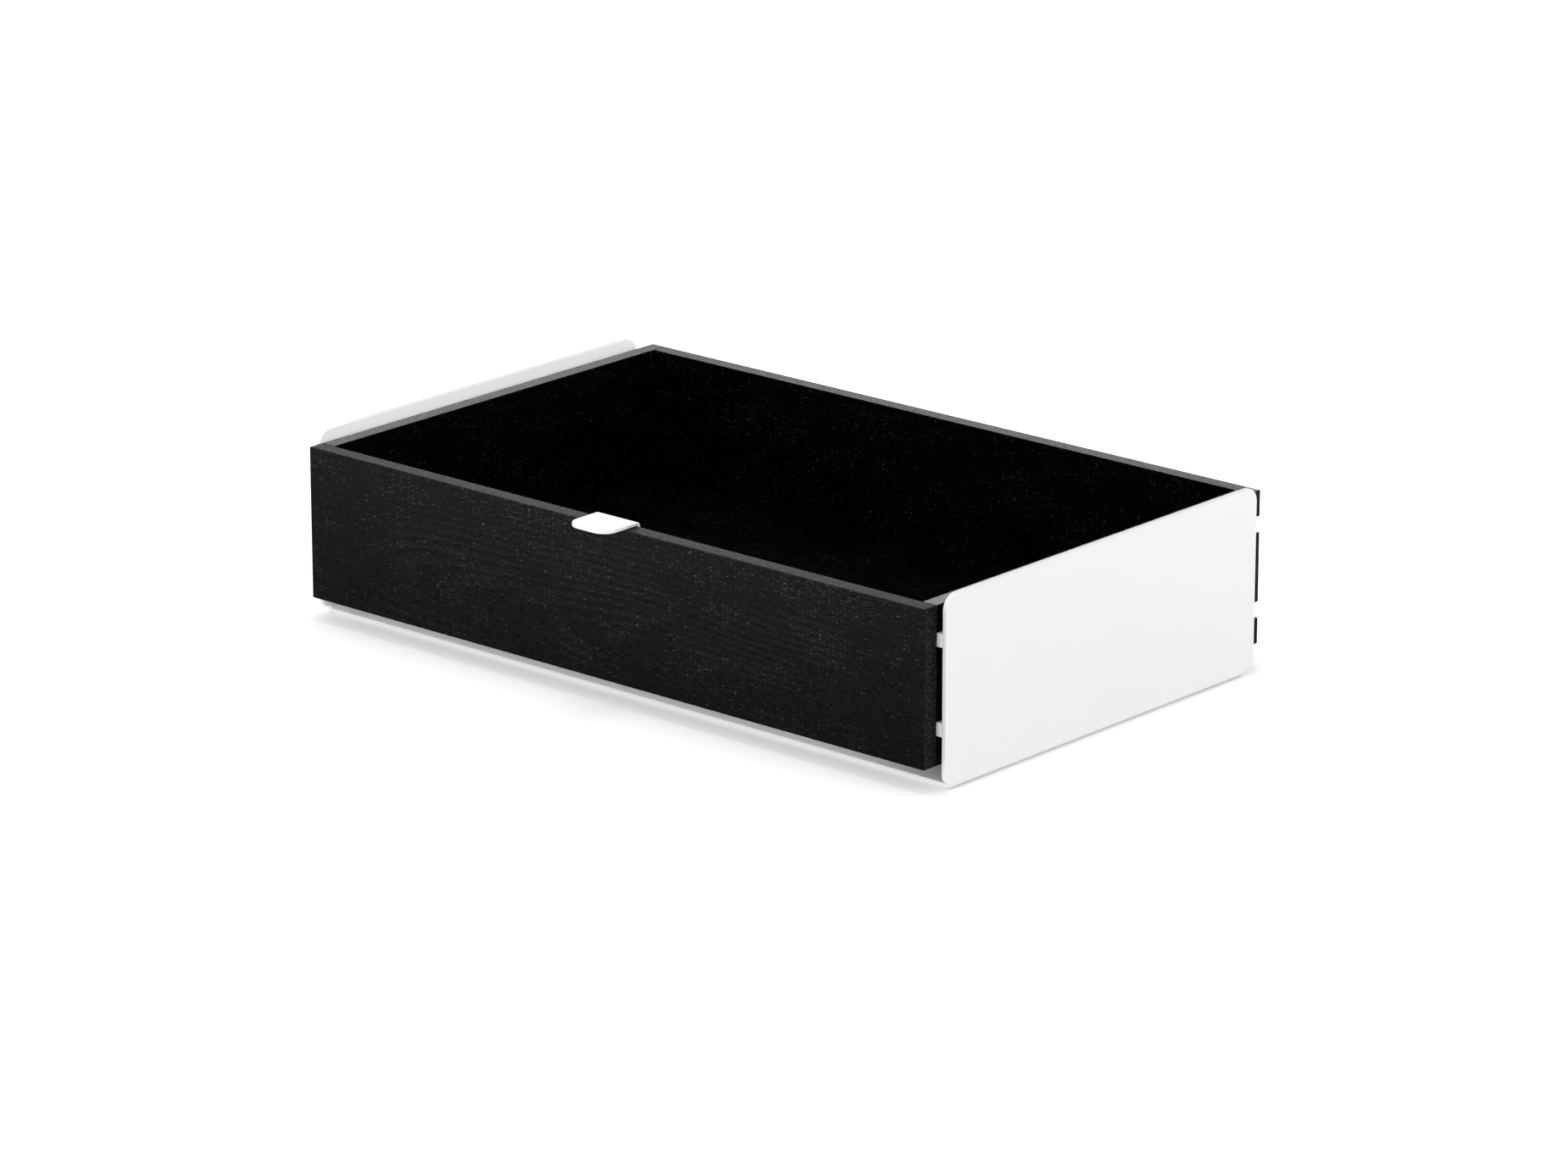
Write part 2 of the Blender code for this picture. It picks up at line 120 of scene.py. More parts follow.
def arc(centre_u, centre_v, radius, start, end, steps):
    """Points of an arc, angles in degrees."""
    angles = [math.radians(start + (end - start) * i / steps) for i in range(steps + 1)]
    return [Vector((centre_u + radius * math.cos(a), centre_v + radius * math.sin(a)))
            for a in angles]


def rounded_rectangle(low, high, radius, steps=4):
    """A counter-clockwise loop."""
    left, bottom = low[0] + radius, low[1] + radius
    right, top = high[0] - radius, high[1] - radius
    return (arc(right, bottom, radius, -90, 0, steps) + arc(right, top, radius, 0, 90, steps)
            + arc(left, top, radius, 90, 180, steps) + arc(left, bottom, radius, 180, 270, steps))


def inset(loop, distance):
    """Moves a closed counter-clockwise loop inwards by a distance."""
    moved = []
    for index, point in enumerate(loop):
        before = (point - loop[index - 1]).normalized()
        after = (loop[(index + 1) % len(loop)] - point).normalized()
        inwards = Vector((-before.y - after.y, before.x + after.x)).normalized()
        share = inwards.dot(Vector((-after.y, after.x)))
        moved.append(point + inwards * (distance / share))
    return moved


def rounded_rim(outline, thickness, radius, steps=3):
    """The loops of a plate's rim, from its top face to its underside, each with its height."""
    turns = [math.radians(90 * i / steps) for i in range(steps + 1)]
    upper = [(inset(outline, radius * (1 - math.sin(t))), thickness - radius * (1 - math.cos(t)))
             for t in turns]
    lower = [(loop, thickness - height) for loop, height in reversed(upper)]
    return upper + lower


def hole(u, v, profile, steps=32):
    """The loops of a round hole whose profile of (radius, height) runs from the top face down."""
    return [(arc(u, v, radius, 0, 360 - 360 / steps, steps - 1), height)
            for radius, height in profile]


def turn_outwards(bm):
    bm.normal_update()
    bmesh.ops.recalc_face_normals(bm, faces=bm.faces[:])


def plate(rims):
    """A closed solid between a top face and an underside that lie inside the given rims."""
    bm = bmesh.new()
    tops, bottoms = [], []
    for rim in rims:
        rings = [[bm.verts.new((p.x, p.y, height)) for p in loop] for loop, height in rim]
        for upper, lower in zip(rings, rings[1:]):
            for i, vert in enumerate(upper):
                bm.faces.new((vert, upper[i - 1], lower[i - 1], lower[i]))
        for ring, edges in ((rings[0], tops), (rings[-1], bottoms)):
            edges.extend(bm.edges.get((ring[i - 1], vert)) for i, vert in enumerate(ring))
    for edges in (tops, bottoms):
        bmesh.ops.triangle_fill(bm, edges=edges, use_beauty=True)
    turn_outwards(bm)
    return bm


def bend_length(sheet, bend_inside):
    """The length of sheet that a 90 degree bend takes up, along the sheet's middle."""
    return (bend_inside + sheet / 2) * math.pi / 2


def fold(bm, start, sheet, bend_inside, steps=12):
    """Folds the sheet up by 90 degrees beyond u = start, round the top face's side."""
    outside = bend_inside + sheet
    length = bend_length(sheet, bend_inside)
    for step in range(steps + 1):
        bmesh.ops.bisect_plane(bm, geom=bm.verts[:] + bm.edges[:] + bm.faces[:],
                               plane_co=(start + length * step / steps, 0, 0),
                               plane_no=(1, 0, 0))
    for vert in bm.verts:
        past = vert.co.x - start
        if past <= 0:
            continue
        turn = min(past / length, 1) * math.pi / 2
        radius = outside - vert.co.z
        straight = max(past - length, 0)
        vert.co.x = start + radius * math.sin(turn)
        vert.co.z = outside - radius * math.cos(turn) + straight


def box_bmesh(low, high):
    bm = bmesh.new()
    bmesh.ops.create_cube(bm, size=1.0)
    for vert in bm.verts:
        vert.co = Vector(lo + (c + 0.5) * (hi - lo) for lo, hi, c in zip(low, high, vert.co))
    return bm


def turned(profile, steps=24):
    """Turns a profile of (along x, radius) points, which starts and ends on the axis."""
    bm = bmesh.new()
    verts = [bm.verts.new((along, 0, radius)) for along, radius in profile]
    edges = [bm.edges.new(pair) for pair in zip(verts, verts[1:])]
    bmesh.ops.spin(bm, geom=verts + edges, cent=(0, 0, 0), axis=(1, 0, 0),
                   angle=math.tau, steps=steps, use_merge=True)
    bmesh.ops.remove_doubles(bm, verts=bm.verts[:], dist=0.001 * MM)
    turn_outwards(bm)
    return bm


def add_object(name, bm, matrix=Matrix.Identity(4)):
    mesh = bpy.data.meshes.new(name)
    bm.to_mesh(mesh)
    bm.free()
    obj = bpy.data.objects.new(name, mesh)
    obj.matrix_world = matrix
    bpy.context.scene.collection.objects.link(obj)
    return obj


def cut(target, tools):
    """Cuts each bmesh out of the target."""
    for number, tool in enumerate(tools):
        turn_outwards(tool)
        cutter = add_object(f"{target.name}_tool_{number}", tool)
        cutter.hide_render = True
        modifier = target.modifiers.new(cutter.name, "BOOLEAN")
        modifier.operation = "DIFFERENCE"
        modifier.solver = "EXACT"
        modifier.object = cutter


def bevel(target, width, segments, **limit):
    modifier = target.modifiers.new("edges", "BEVEL")
    modifier.width = width
    modifier.segments = segments
    modifier.use_clamp_overlap = False
    for key, value in limit.items():
        setattr(modifier, key, value)


def settle(target):
    """Turns the modifiers' result into a plain mesh, smooth across its rounded edges."""
    tools = [m.object for m in target.modifiers if m.type == "BOOLEAN"]
    target.data.shade_smooth()
    for tool in tools:
        tool.data.shade_smooth()
    smooth = target.modifiers.new("normals", "WEIGHTED_NORMAL")
    smooth.keep_sharp = False
    smooth.weight = 100
    bpy.context.view_layer.update()
    depsgraph = bpy.context.evaluated_depsgraph_get()
    mesh = bpy.data.meshes.new_from_object(target.evaluated_get(depsgraph))
    target.modifiers.clear()
    target.data = mesh
    mesh.name = target.name
    for tool in tools:
        bpy.data.objects.remove(tool, do_unlink=True)
    return target


def piece(obj, body, nodes, material):
    """Hands a finished piece over to the frame."""
    obj.data.materials.clear()
    obj.data.materials.append(material)
    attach(obj, body)
    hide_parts(*nodes)


# ---------------------------------------------------------------- materials

class Shader:
    """A material's node tree, with short ways to add nodes."""

    def __init__(self, name):
        self.material = bpy.data.materials.new(name)
        self.material.use_nodes = True
        self.tree = self.material.node_tree
        self.bsdf = self.tree.nodes["Principled BSDF"]

    def add(self, kind, inputs, **settings):
        node = self.tree.nodes.new(kind)
        for key, value in settings.items():
            setattr(node, key, value)
        for key, value in inputs.items():
            self.feed(node.inputs[key], value)
        return node

    def feed(self, socket, value):
        if isinstance(value, bpy.types.NodeSocket):
            self.tree.links.new(value, socket)
        else:
            socket.default_value = value

    def set(self, **values):
        for key, value in values.items():
            self.feed(self.bsdf.inputs[key.replace("_", " ").title().replace("Ior", "IOR")],
                      value)

    def coords(self, kind="Object"):
        return self.add("ShaderNodeTexCoord", {}).outputs[kind]

    def mapping(self, vector, location=(0, 0, 0), rotation=(0, 0, 0), scale=(1, 1, 1)):
        angles = [math.radians(a) for a in rotation]
        return self.add("ShaderNodeMapping", {"Vector": vector, "Location": location,
                                              "Rotation": angles, "Scale": scale}).outputs[0]

    def noise(self, vector, scale, detail=2.0, roughness=0.5):
        return self.add("ShaderNodeTexNoise", {
            "Vector": vector, "Scale": scale, "Detail": detail,
            "Roughness": roughness}).outputs["Fac"]

    def math(self, operation, a, b=0.0, c=0.0):
        return self.add("ShaderNodeMath", {0: a, 1: b, 2: c}, operation=operation).outputs[0]

    def remap(self, value, from_low, from_high, to_low=0.0, to_high=1.0, smooth=False):
        node = self.add("ShaderNodeMapRange", {
            "Value": value, "From Min": from_low, "From Max": from_high,
            "To Min": to_low, "To Max": to_high})
        if smooth:
            node.interpolation_type = "SMOOTHSTEP"
        return node.outputs[0]

    def mix(self, factor, first, second):
        node = self.add("ShaderNodeMix", {}, data_type="RGBA")
        self.feed(node.inputs[0], factor)
        self.feed(node.inputs[6], (*first, 1.0) if isinstance(first, tuple) else first)
        self.feed(node.inputs[7], (*second, 1.0) if isinstance(second, tuple) else second)
        return node.outputs[2]

    def dashes(self, vector, cell, radius, chance, fade=0.0):
        """Short dashes along x, one to a cell at most, their strength uneven with fade."""
        at = self.mapping(vector, scale=[1 / size for size in cell])
        cells = self.add("ShaderNodeTexVoronoi", {"Vector": at, "Scale": 1.0})
        pick = self.add("ShaderNodeSeparateColor", {"Color": cells.outputs["Color"]})
        present = self.math("LESS_THAN", pick.outputs[0], chance)
        inside = self.remap(cells.outputs["Distance"], radius, radius * 0.5, smooth=True)
        strength = self.math("POWER", pick.outputs[1], fade)
        return self.math("MULTIPLY", self.math("MULTIPLY", inside, present), strength)

    def bump(self, height, strength, distance):
        return self.add("ShaderNodeBump", {"Height": height, "Strength": strength,
                                           "Distance": distance}).outputs[0]


def powder_coat():
    s = Shader("white_powder_coat")
    at = s.coords()
    peel = s.noise(at, 1100, detail=1.5)
    clouds = s.noise(at, 26, detail=3)
    s.set(base_color=s.mix(clouds, (0.835, 0.835, 0.832), (0.855, 0.855, 0.853)),
          roughness=s.remap(peel, 0.3, 0.7, 0.44, 0.52),
          normal=s.bump(peel, 0.10, 0.0002), ior=1.45)
    return s.material


def nylon():
    s = Shader("white_nylon")
    at = s.coords()
    grain = s.noise(at, 2600, detail=2)
    flow = s.noise(s.mapping(at, scale=(1, 0.05, 1)), 420, detail=2)
    s.set(base_color=s.mix(flow, (0.80, 0.80, 0.79), (0.85, 0.85, 0.84)),
          roughness=s.remap(flow, 0.3, 0.7, 0.34, 0.44),
          normal=s.bump(grain, 0.06, 0.0001), ior=1.5)
    return s.material


def zinc_steel():
    s = Shader("zinc_plated_steel")
    at = s.coords()
    spots = s.noise(at, 1500, detail=3)
    film = s.noise(at, 300, detail=2)
    s.set(base_color=s.mix(film, (0.58, 0.60, 0.64), (0.70, 0.70, 0.68)),
          metallic=1.0, roughness=s.remap(spots, 0.3, 0.7, 0.24, 0.42),
          normal=s.bump(spots, 0.08, 0.00005))
    return s.material


def beech():
    s = Shader("beech")
    at = s.coords()
    fibre = s.noise(s.mapping(at, scale=(1, 0.06, 1)), 900, detail=3)
    flecks = s.noise(s.mapping(at, scale=(1, 0.3, 1)), 1800, detail=1)
    tint = s.mix(fibre, (0.42, 0.26, 0.14), (0.60, 0.42, 0.26))
    s.set(base_color=s.mix(s.remap(flecks, 0.6, 0.68), tint, (0.33, 0.19, 0.10)),
          roughness=0.62, normal=s.bump(fibre, 0.15, 0.0001), ior=1.45)
    return s.material


def black_oak(name, shift, tilt, ior, paleness_and_inner_shade):
    """Stained oak in the board's own frame, in mm: x along the grain, y across, z out of the face.

    paleness_and_inner_shade is the stain's paleness on the face to -z and on the face to +z;
    where it is lower on the faces into the box, that is painted shade.
    """
    s = Shader(name)
    at = s.mapping(s.mapping(s.coords(), scale=(1000, 1000, 1000)), location=shift)
    facing = s.add("ShaderNodeSeparateXYZ", {"Vector": s.coords("Normal")})

    # Growth rings about the tree's tilted axis, below the face.
    wander = s.noise(s.mapping(at, scale=(0.25, 1, 1)), 0.016, detail=3)
    split = s.add("ShaderNodeSeparateXYZ", {"Vector": s.mapping(at, rotation=tilt)})
    across = s.math("POWER", split.outputs[1], 2.0)
    below = s.math("POWER", split.outputs[2], 2.0)
    radius = s.math("SQRT", s.math("ADD", across, below))
    radius = s.math("ADD", radius, s.math("MULTIPLY", wander, 16.0))
    ring = s.math("FRACT", s.math("DIVIDE", radius, 4.2))
    early = s.math("SUBTRACT", 1.0, s.remap(ring, 0.0, 0.8, smooth=True))

    # Fibres wander to either side of the grain.
    patches = s.remap(s.noise(s.mapping(at, scale=(0.45, 1, 1)), 0.05, detail=4), 0.40, 0.66)
    bent = s.noise(s.mapping(at, scale=(0.35, 1, 1)), 0.45, detail=1)
    wavy = s.add("ShaderNodeVectorMath", {0: at, 1: s.add(
        "ShaderNodeCombineXYZ", {"Y": s.math("MULTIPLY", bent, 2.4)}).outputs[0]}).outputs[0]
    fibre = s.noise(s.mapping(wavy, scale=(0.25, 1, 1)), 0.9, detail=4, roughness=0.75)

    # Open pores are short dark dashes, most of them in the early wood. Some catch the light, shown
    # as pale specks painted into the colour: a painted highlight.
    dense = s.math("ADD", s.math("MULTIPLY", early, 0.16), s.math("MULTIPLY", patches, 0.62))
    pores = s.dashes(wavy, (4.0, 0.5, 0.5), 0.42, s.math("MULTIPLY", dense, 0.45))
    painted_glints = s.dashes(wavy, (3.0, 0.42, 0.42), 0.44, dense, fade=2.0)

    # The colour: the rings show in places only.
    figure = s.remap(s.noise(s.mapping(at, scale=(0.5, 1, 1)), 0.022, detail=1), 0.45, 0.60,
                     0.1, 0.55, smooth=True)
    streaks = s.math("MULTIPLY_ADD", early, figure, s.remap(fibre, 0.36, 0.66))
    # The stain's tone, with painted shade: on the back, the sides and the bottom it is darker on
    # the faces into the box.
    stain_and_inner_shade = s.remap(facing.outputs[2], 0.2, 0.8, *paleness_and_inner_shade)
    level = s.math("MULTIPLY", s.math("MULTIPLY_ADD", streaks, 0.0032, 0.0001), stain_and_inner_shade)
    level = s.math("MULTIPLY", level, s.math("MULTIPLY_ADD", pores, -0.7, 1.0))
    # Painted glints: pale specks added to the colour, stronger on the darker faces inside the box.
    level = s.math("MULTIPLY_ADD", painted_glints, s.remap(stain_and_inner_shade, 0.35, 0.8, 0.045, 0.025), level)

    # The end grain is paler, with open specks.
    end = s.remap(s.math("ABSOLUTE", facing.outputs[0]), 0.5, 0.95)
    specks = s.remap(s.noise(s.mapping(at, scale=(1, 1, 0.5)), 0.8, detail=3), 0.46, 0.66,
                     0.003, 0.022)
    level = s.math("MULTIPLY_ADD", end, specks, level)

    tint = s.add("ShaderNodeCombineColor", {0: level, 1: level, 2: level}).outputs[0]
    height = s.math("SUBTRACT", s.math("MULTIPLY", fibre, 0.5), pores)
    gloss = s.math("ADD", s.remap(fibre, 0.3, 0.7, 0.33, 0.45), s.math("MULTIPLY", pores, 0.2))
    s.set(base_color=tint, roughness=gloss, normal=s.bump(height, 0.6, 0.0002), ior=ior)
    return s.material


COAT = powder_coat()
NYLON = nylon()
ZINC = zinc_steel()
BEECH = beech()


# ---------------------------------------------------------------- bracket

def make_bracket():
    """The folded U. Its flat pattern has u from wall top to wall top and v along Y."""
    low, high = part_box("mounting_bracket")
    outside = BEND_INSIDE + SHEET
    flat = high.x - outside
    length = bend_length(SHEET, BEND_INSIDE)
    wall_start = flat + length
    wall_top = wall_start + high.z - outside

    def along(z):
        """The u of a height on the wall's or the bend's middle surface."""
        if z >= outside:
            return wall_start + z - outside
        middle = outside - SHEET / 2
        return flat + length * math.acos((outside - z) / middle) / (math.pi / 2)

    def corner(points):
        """Turns (y, z) points of the side view into (u, v) points."""
        return [Vector((along(p.y), p.x)) for p in points]

    top_z = high.z - WALL_TOP_ROUND
    front_foot = low.y + WALL_FOOT_ROUND
    back_foot = high.y - WALL_FOOT_ROUND
    right_front = corner(
        arc(front_foot, WALL_FOOT_HEIGHT, WALL_FOOT_ROUND, 270, 180, 10)
        + arc(low.y + WALL_TOP_ROUND, top_z, WALL_TOP_ROUND, 180, 90, 12))
    right_back = corner(
        arc(high.y - WALL_TOP_ROUND, top_z, WALL_TOP_ROUND, 90, 0, 12)
        + arc(back_foot, WALL_FOOT_HEIGHT, WALL_FOOT_ROUND, 360, 270, 10))
    right = right_front + right_back
    outline = right + [Vector((-p.x, p.y)) for p in reversed(right)]

    middle = (low.y + high.y) / 2
    lip = SHEET_EDGE / 2
    profile = [(DESK_HOLE / 2 + lip, SHEET), (DESK_HOLE / 2, SHEET - lip),
               (DESK_HOLE / 2, lip), (DESK_HOLE / 2 + lip, 0.0)]
    holes = [hole(sx * DESK_HOLE_SPACING[0] / 2, middle + sy * DESK_HOLE_SPACING[1] / 2, profile)
             for sx in (-1, 1) for sy in (-1, 1)]
    bm = plate([rounded_rim(outline, SHEET, SHEET_EDGE)] + holes)
    fold(bm, flat, SHEET, BEND_INSIDE)
    for vert in bm.verts:
        vert.co.x = -vert.co.x
    fold(bm, flat, SHEET, BEND_INSIDE)
    bmesh.ops.remove_doubles(bm, verts=bm.verts[:], dist=0.003 * MM)
    turn_outwards(bm)
    piece(settle(add_object("bracket", bm)), "bracket", ["mounting_bracket"], COAT)


def make_rails():
    """Each rail is a plate on the wall, with countersinks to the box and pockets for the studs."""
    for node, mirrored in ((f"rail_{side}_{level}", side == "left")
                           for side in ("left", "right") for level in ("lower", "upper")):
        low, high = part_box(node)
        width = high.x - low.x
        centre = (low + high) / 2
        half_y, half_z = (high.y - low.y) / 2, (high.z - low.z) / 2
        outline = rounded_rectangle((-half_y, -half_z), (half_y, half_z), RAIL_CORNER_ROUND)
        pocket, floor = STUD_POCKET
        profile = [(HEAD_RADIUS + FIT, width), (SHANK_RADIUS + FIT, width - HEAD_DEPTH),
                   (SHANK_RADIUS + FIT, floor), (pocket, floor), (pocket, 0.0)]
        holes = [hole(step * RAIL_FIXING_SPACING, 0, profile) for step in (-1, 0, 1)]
        bm = plate([rounded_rim(outline, width, RAIL_EDGE)] + holes)
        # Plate u, v and w become world y, z and the way from the wall to the box.
        sign = 1 if mirrored else -1
        turn = Matrix(((0, 0, sign, 0), (-sign, 0, 0, 0), (0, 1, 0, 0), (0, 0, 0, 1)))
        wall_x = low.x if mirrored else high.x
        bm.transform(Matrix.Translation((wall_x, centre.y, centre.z)) @ turn)
        turn_outwards(bm)
        piece(settle(add_object(node.replace("rail", "glide_rail"), bm)), "bracket", [node],
              NYLON)


def screw_mesh(name, length):
    """A countersunk hex socket screw, its head flush at x = 0 and its tip along +X."""
    root = SHANK_RADIUS - THREAD_DEPTH
    profile = [(0, 0), (0, HEAD_RADIUS - HEAD_RIM),
               (HEAD_RIM * 0.4, HEAD_RADIUS - HEAD_RIM * 0.3),
               (HEAD_RIM * 1.2, HEAD_RADIUS - HEAD_RIM * 0.6), (HEAD_DEPTH, SHANK_RADIUS)]
    along = HEAD_DEPTH + 0.2 * MM
    while along < length - THREAD_PITCH:
        profile += [(along, SHANK_RADIUS), (along + 0.35 * THREAD_PITCH, root),
                    (along + 0.55 * THREAD_PITCH, root)]
        along += THREAD_PITCH
    profile += [(length - 0.3 * MM, SHANK_RADIUS), (length, SHANK_RADIUS - 0.4 * MM), (length, 0)]
    screw = add_object(name, turned(profile, steps=36))

    # The socket is turned a little, so that its corners miss the head's own points.
    bm = bmesh.new()
    radius = SOCKET_ACROSS_FLATS / 2 / math.cos(math.radians(30))
    corners = [math.radians(60 * i + 5) for i in range(6)]
    rings = [[bm.verts.new((x, radius * math.cos(a), radius * math.sin(a))) for a in corners]
             for x in (-SOCKET_DEPTH, SOCKET_DEPTH)]
    for i in range(6):
        bm.faces.new((rings[0][i - 1], rings[0][i], rings[1][i], rings[1][i - 1]))
    bm.faces.new(rings[0])
    tip = bm.verts.new((SOCKET_TIP_DEPTH, 0, 0))
    for i in range(6):
        bm.faces.new((rings[1][i - 1], rings[1][i], tip))
    cut(screw, [bm])
    settle(screw)
    mesh = screw.data
    mesh.set_sharp_from_angle(angle=math.radians(40))
    bpy.data.objects.remove(screw)
    return mesh


def make_screws():
    rail_screw = screw_mesh("rail_screw", RAIL_SCREW_LENGTH)
    pull_screw = screw_mesh("pull_screw", PULL_SCREW_LENGTH)
    for node in sorted(n for n in NODES if "screw" in n):
        low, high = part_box(node)
        centre = (low + high) / 2
        pull = node.startswith("pull")
        if pull:
            turn, at = -90, Vector((centre.x, high.y, centre.z))
        elif "left" in node:
            turn, at = 180, Vector((high.x, centre.y, centre.z))
        else:
            turn, at = 0, Vector((low.x, centre.y, centre.z))
        mesh = pull_screw if pull else rail_screw
        obj = bpy.data.objects.new(f"hex_{node}", mesh)
        obj.matrix_world = Matrix.Translation(at) @ Matrix.Rotation(math.radians(turn), 4, "Z")
        bpy.context.scene.collection.objects.link(obj)
        piece(obj, "drawer" if pull else "bracket", [node], ZINC)


# ---------------------------------------------------------------- box

# Each board's directions along the grain, across it and out of the box (up, for the bottom)
GRAIN_FRAMES = {
    "front_panel": ((1, 0, 0), (0, 0, 1), (0, -1, 0)),
    "back_panel": ((-1, 0, 0), (0, 0, 1), (0, 1, 0)),
    "right_side_panel": ((0, 1, 0), (0, 0, 1), (1, 0, 0)),
    "left_side_panel": ((0, -1, 0), (0, 0, 1), (-1, 0, 0)),
    "bottom_panel": ((1, 0, 0), (0, 1, 0), (0, 0, 1)),
}
# Each board's place in its tree, as a shift in mm and a tilt in degrees; the finish's IOR; the
# stain's paleness on the faces into and out of the box, lower inside the box as painted shade
GRAIN = {
    "front_panel": ((310, 12, 36), (0, 5.5, 1.5), 1.10, (0.8, 0.8)),
    "back_panel": ((1270, -10, 52), (0, -4.0, 1.0), 1.12, (0.35, 0.9)),
    "right_side_panel": ((2140, 15, 47), (0, 4.5, -1.0), 1.12, (0.35, 0.8)),
    "left_side_panel": ((3410, -14, 60), (0, -5.0, 1.5), 1.12, (0.35, 0.8)),
    "bottom_panel": ((4630, 20, 85), (0, 2.0, 0.8), 1.06, (0.5, 0.5)),
}


def board(node, low, high, rounded, tools):
    """A board with rounded outer edges, its grooves and holes cut and its small edges eased."""
    centre = (low + high) / 2
    obj = add_object(f"oak_{node}", box_bmesh(low, high))
    weights = obj.data.attributes.new("bevel_weight_edge", "FLOAT", "EDGE")
    for edge in obj.data.edges:
        middle = sum((obj.data.vertices[i].co for i in edge.vertices), Vector()) / 2 - centre
        weights.data[edge.index].value = 1.0 if rounded(middle) else 0.0
    bevel(obj, OUTER_ROUND, 3, limit_method="WEIGHT")
    cut(obj, tools)
    bevel(obj, SMALL_ROUND, 2, limit_method="ANGLE", angle_limit=math.radians(50))
    settle(obj)
    x, y, z = GRAIN_FRAMES[node]
    place = Matrix.Translation(centre) @ Matrix((x, y, z)).transposed().to_4x4()
    obj.data.transform(place.inverted())
    obj.matrix_world = place
    piece(obj, "drawer", [node], black_oak(f"black_oak_{node}", *GRAIN[node]))


def rod(centre, axis, half_length, radius):
    """A round cutter along X or Y."""
    bm = turned([(-half_length, 0), (-half_length, radius), (half_length, radius),
                 (half_length, 0)], steps=20)
    if axis == "Y":
        bm.transform(Matrix.Rotation(math.radians(90), 4, "Z"))
    bm.transform(Matrix.Translation(centre))
    return bm


def make_box():
    """Five boards, with grooves for the bottom and the rails, and holes for dowels and screws."""
    front_low, front_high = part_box("front_panel")
    base, top = front_low.z, front_high.z
    thick = front_high.y - front_low.y
    bottom_low, bottom_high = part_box("bottom_panel")
    groove_z = (bottom_low.z - BOTTOM_SLACK, bottom_high.z + BOTTOM_SLACK)
    inner_x = front_high.x - thick
    dowels = {n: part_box(n) for n in NODES if n.startswith("dowel")}

    def dowel_tools(end, side):
        tools = []
        for node, (low, high) in dowels.items():
            if node.startswith(f"dowel_{end}_{side}"):
                axis = "Y" if end == "front" else "X"
                half = (high - low)[1 if axis == "Y" else 0] / 2 + FIT
                tools.append(rod((low + high) / 2, axis, half, DOWEL_HOLE_RADIUS))
        return tools

    # Front: all outer edges are rounded, and the two long inner ones.
    pilots = [rod(Vector(((low.x + high.x) / 2, low.y + PILOT_MIDDLE, (low.z + high.z) / 2)), "Y",
                  PILOT_HALF_LENGTH, PILOT_RADIUS)
              for low, high in (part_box("pull_screw_left"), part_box("pull_screw_right"))]
    groove = box_bmesh((-inner_x - BOTTOM_GROOVE_DEPTH, front_high.y - BOTTOM_GROOVE_DEPTH,
                        groove_z[0]),
                       (inner_x + BOTTOM_GROOVE_DEPTH, front_high.y + MM, groove_z[1]))
    board("front_panel", front_low, front_high,
          lambda middle: middle.y < thick / 4 or abs(middle.x) < MM,
          [groove] + pilots + dowel_tools("front", "left") + dowel_tools("front", "right"))

    # Back: it lies between the sides.
    back_low, back_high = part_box("back_panel")
    back_low.x, back_high.x = SEAM - inner_x, inner_x - SEAM
    groove = box_bmesh((-inner_x - MM, back_low.y - MM, groove_z[0]),
                       (inner_x + MM, back_low.y + BOTTOM_GROOVE_DEPTH, groove_z[1]))
    board("back_panel", back_low, back_high, lambda middle: abs(middle.x) < MM,
          [groove] + dowel_tools("back", "left") + dowel_tools("back", "right"))

    # Sides: they start behind the front, and their slide grooves run out at the rear.
    for side, sign in (("left", -1), ("right", 1)):
        low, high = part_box(f"{side}_side_panel")
        low.y = front_high.y + SEAM
        outer, inner = sign * front_high.x, sign * inner_x
        tools = []
        depth, height = SLIDE_GROOVE
        for middle in (base + SLIDE_GROOVE_OFFSET, top - SLIDE_GROOVE_OFFSET):
            xs = sorted((outer - sign * depth, outer + sign * MM))
            tools.append(box_bmesh((xs[0], low.y - MM, middle - height / 2),
                                   (xs[1], high.y + MM, middle + height / 2)))
        xs = sorted((inner - sign * MM, inner + sign * BOTTOM_GROOVE_DEPTH))
        tools.append(box_bmesh((xs[0], low.y - MM, groove_z[0]),
                               (xs[1], back_low.y + BOTTOM_GROOVE_DEPTH, groove_z[1])))
        tools += dowel_tools("front", side) + dowel_tools("back", side)
        board(f"{side}_side_panel", low, high,
              lambda middle: abs(middle.y) < MM or middle.y > MM, tools)

    board("bottom_panel", bottom_low, bottom_high, lambda middle: False, [])


